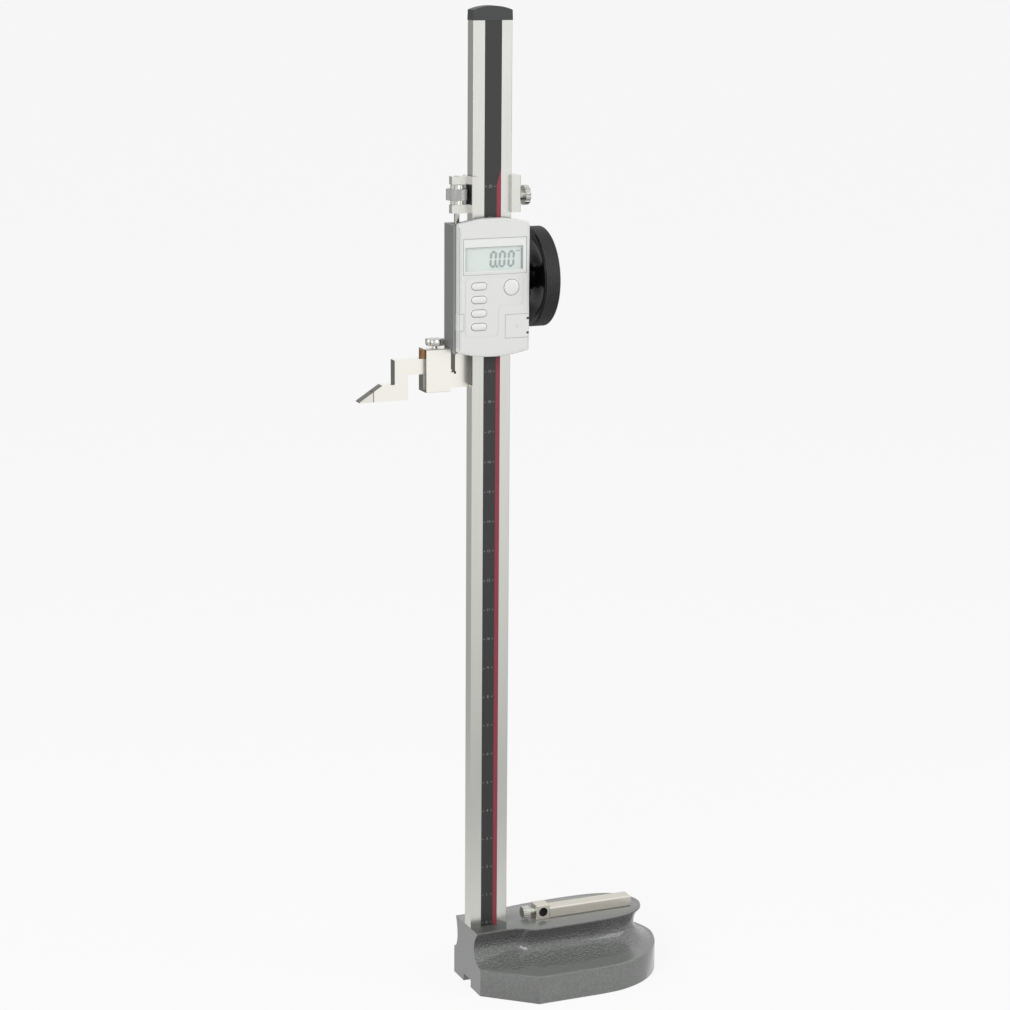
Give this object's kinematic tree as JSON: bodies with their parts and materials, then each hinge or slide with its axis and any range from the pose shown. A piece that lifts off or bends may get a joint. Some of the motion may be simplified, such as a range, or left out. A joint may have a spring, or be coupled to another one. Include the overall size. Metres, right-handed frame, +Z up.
{
  "type": "digital height gauge",
  "caption": "Digital height gauge: a ground steel column on a cast base carries a geared slider with display, handwheel, fine adjuster and cranked scriber.",
  "frame": {"origin": "on the surface the gauge stands on, midway between the scriber's tip and the base's nose, on the base's centre line", "axes": "+Z up along the column, +X along the base from the column's end to its nose, -Y towards the user who reads the display"},
  "size_m": [0.27, 0.13, 0.836],
  "materials": {
    "base_paint": "hammered enamel",
    "ground_steel": "ground",
    "scale_black": "matt",
    "red": "matt",
    "cap_plastic": "moulded",
    "tool_steel": "turned",
    "frame_grey": "satin",
    "bronze": "machined",
    "knurled_steel": "knurled",
    "module_silver": "satin",
    "case_grey": "moulded",
    "window_clear": "clear",
    "lcd_glass": "polished",
    "rubber_grey": "moulded",
    "board_green": "laminate",
    "cell_steel": "drawn",
    "socket_black": "moulded",
    "wheel_black": "moulded",
    "carbide": "ground"
  },
  "bodies": {
    "base": {"base_casting": "base_paint", "column": "ground_steel", "column_screws": "tool_steel", "scale_strip": "scale_black", "red_stripe": "red", "rack": "tool_steel", "column_cap": "cap_plastic"},
    "carriage": {"slider_frame": "frame_grey", "slider_back_plate": "frame_grey", "back_plate_screws": "tool_steel", "gib_strip": "bronze", "gib_screws": "tool_steel", "shaft_bushes": "bronze", "feed_rod": "tool_steel", "jaw_arm": "ground_steel", "jaw_screws": "tool_steel", "front_bezel": "module_silver", "display_window": "window_clear", "lcd_panel": "lcd_glass", "key_mat": "rubber_grey", "circuit_board": "board_green", "rear_case": "case_grey", "case_screws": "tool_steel", "reader_head": "board_green", "coin_cell": "cell_steel", "battery_contact": "cell_steel", "data_socket": "socket_black"},
    "handwheel_set": {"handwheel": "wheel_black", "drive_shaft": "tool_steel", "wheel_screw": "tool_steel", "pinion": "tool_steel"},
    "carrier": {"carrier_frame": "ground_steel", "lock_shoe": "bronze"},
    "adjusting_nut": {"adjusting_nut": "knurled_steel"},
    "carrier_lock": {"carrier_lock_screw": "knurled_steel"},
    "clamp": {"clamp_box": "ground_steel", "clamp_pad": "bronze"},
    "clamp_screw": {"clamp_screw": "knurled_steel"},
    "scriber": {"scriber": "ground_steel", "carbide_tip": "carbide"},
    "battery_hatch": {"battery_hatch": "module_silver"},
    "port_cover": {"port_cover": "module_silver"},
    "key_unit": {"key_unit": "module_silver"},
    "key_zero": {"key_zero": "module_silver"},
    "key_up": {"key_up": "module_silver"},
    "key_down": {"key_down": "module_silver"},
    "key_power": {"key_power": "module_silver"},
    "indicator_holder": {"holder_block": "ground_steel", "holder_bar": "ground_steel"},
    "holder_screw": {"holder_screw": "knurled_steel"}
  },
  "joints": [
    {"name": "carriage_slide", "type": "slide", "parent": "base", "child": "carriage", "axis": [0, 0, 1], "range_m": [-0.497, 0.119]},
    {"name": "handwheel_spin", "type": "hinge", "parent": "carriage", "child": "handwheel_set", "pos_m": [-0.023, 0.01112, 0.614], "axis": [1, 0, 0], "range_deg": [-5086, 1218.54]},
    {"name": "nut_spin", "type": "hinge", "parent": "carrier", "child": "adjusting_nut", "pos_m": [-0.0516, 0, 0.6865], "axis": [0, 0, 1], "range_deg": [-1805, 1805]},
    {"name": "fine_slide", "type": "slide", "parent": "carriage", "child": "carrier", "axis": [0, 0, 1], "range_m": [-0.004, 0.004]},
    {"name": "carrier_lock_turn", "type": "hinge", "parent": "carrier", "child": "carrier_lock", "pos_m": [0.0088, 0, 0.683], "axis": [1, 0, 0], "range_deg": [0, 270]},
    {"name": "clamp_slide", "type": "slide", "parent": "carriage", "child": "clamp", "axis": [1, 0, 0], "range_m": [-0.014, 0]},
    {"name": "scriber_slide", "type": "slide", "parent": "clamp", "child": "scriber", "axis": [1, 0, 0], "range_m": [-0.012, 0.005]},
    {"name": "clamp_screw_turn", "type": "hinge", "parent": "clamp", "child": "clamp_screw", "pos_m": [-0.06765, 0.00745, 0.5637], "axis": [0, 0, 1], "range_deg": [0, 270]},
    {"name": "battery_hatch_slide", "type": "slide", "parent": "carriage", "child": "battery_hatch", "axis": [1, 0, 0], "range_m": [0, 0.0085]},
    {"name": "port_cover_slide", "type": "slide", "parent": "carriage", "child": "port_cover", "axis": [-1, 0, 0], "range_m": [0, 0.01]},
    {"name": "holder_lift", "type": "slide", "parent": "base", "child": "indicator_holder", "axis": [0, 0, 1], "range_m": [0, 0.15]},
    {"name": "holder_screw_turn", "type": "hinge", "parent": "indicator_holder", "child": "holder_screw", "pos_m": [0.0123, -0.00505, 0.06035], "axis": [1, 0, 0], "range_deg": [-270, 0]},
    {"name": "key_unit_press", "type": "slide", "parent": "carriage", "child": "key_unit", "axis": [0, 1, 0], "range_m": [0, 0.0006], "stiffness_N_per_m": 500},
    {"name": "key_zero_press", "type": "slide", "parent": "carriage", "child": "key_zero", "axis": [0, 1, 0], "range_m": [0, 0.0006], "stiffness_N_per_m": 500},
    {"name": "key_up_press", "type": "slide", "parent": "carriage", "child": "key_up", "axis": [0, 1, 0], "range_m": [0, 0.0006], "stiffness_N_per_m": 500},
    {"name": "key_down_press", "type": "slide", "parent": "carriage", "child": "key_down", "axis": [0, 1, 0], "range_m": [0, 0.0006], "stiffness_N_per_m": 500},
    {"name": "key_power_press", "type": "slide", "parent": "carriage", "child": "key_power", "axis": [0, 1, 0], "range_m": [0, 0.0006], "stiffness_N_per_m": 500}
  ],
  "couplings": [
    {"joint": "handwheel_spin", "follows": "carriage_slide", "rad_per_m": 178.57},
    {"joint": "nut_spin", "follows": "fine_slide", "rad_per_m": 7854}
  ]
}
